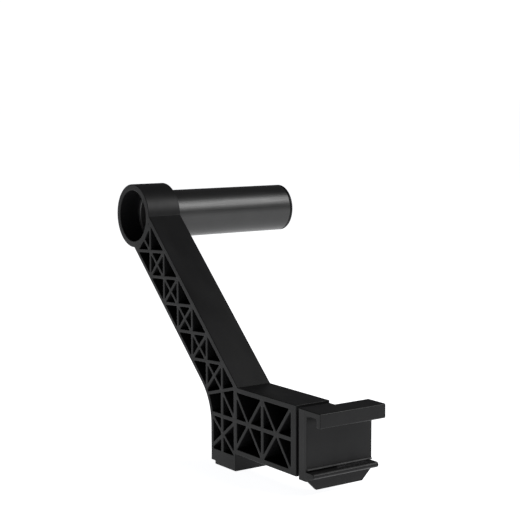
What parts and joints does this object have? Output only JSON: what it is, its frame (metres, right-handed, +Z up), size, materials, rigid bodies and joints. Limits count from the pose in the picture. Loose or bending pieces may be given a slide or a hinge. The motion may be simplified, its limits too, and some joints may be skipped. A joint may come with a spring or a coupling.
{
  "type": "spool holder stand",
  "caption": "Clip-on holder for a filament spool: a ribbed leaning arm with a tube that carries the spool, and a hook and latch that grip a slotted aluminium profile.",
  "frame": {"origin": "on the line where the profile's top edge sits in the inner corner of the hook and the clip plate, half way along the plate", "axes": "+X along the profile and along the spool tube, away from the bracket's ribbed face; +Y away from the profile; +Z up"},
  "size_m": [0.115, 0.2147, 0.1603],
  "materials": {
    "bracket_plastic": "black injection-moulded plastic, fine satin grain",
    "clip_plastic": "black injection-moulded plastic, fine satin grain",
    "socket_plastic": "black moulded plastic, smooth satin",
    "tube_plastic": "dark grey smooth tube, soft gloss"
  },
  "bodies": {
    "clip": {"clip_adapter": "clip_plastic"},
    "latch": {"release_latch": "clip_plastic"},
    "bracket": {"arm_bracket": "bracket_plastic"},
    "tube": {"tube_socket": "socket_plastic", "spool_tube": "tube_plastic", "end_cap": "socket_plastic"}
  },
  "joints": [
    {"name": "bracket_lift", "type": "slide", "parent": "clip", "child": "bracket", "axis": [0, 0, 1], "range_m": [0, 0.034]},
    {"name": "latch_flex", "type": "hinge", "parent": "clip", "child": "latch", "pos_m": [0, 0.00295, -0.005], "axis": [1, 0, 0], "range_deg": [0, 3], "stiffness_Nm_per_rad": 2},
    {"name": "tube_twist", "type": "hinge", "parent": "bracket", "child": "tube", "pos_m": [0, 0.183, 0.0947], "axis": [1, 0, 0], "range_deg": [0, 40]}
  ]
}
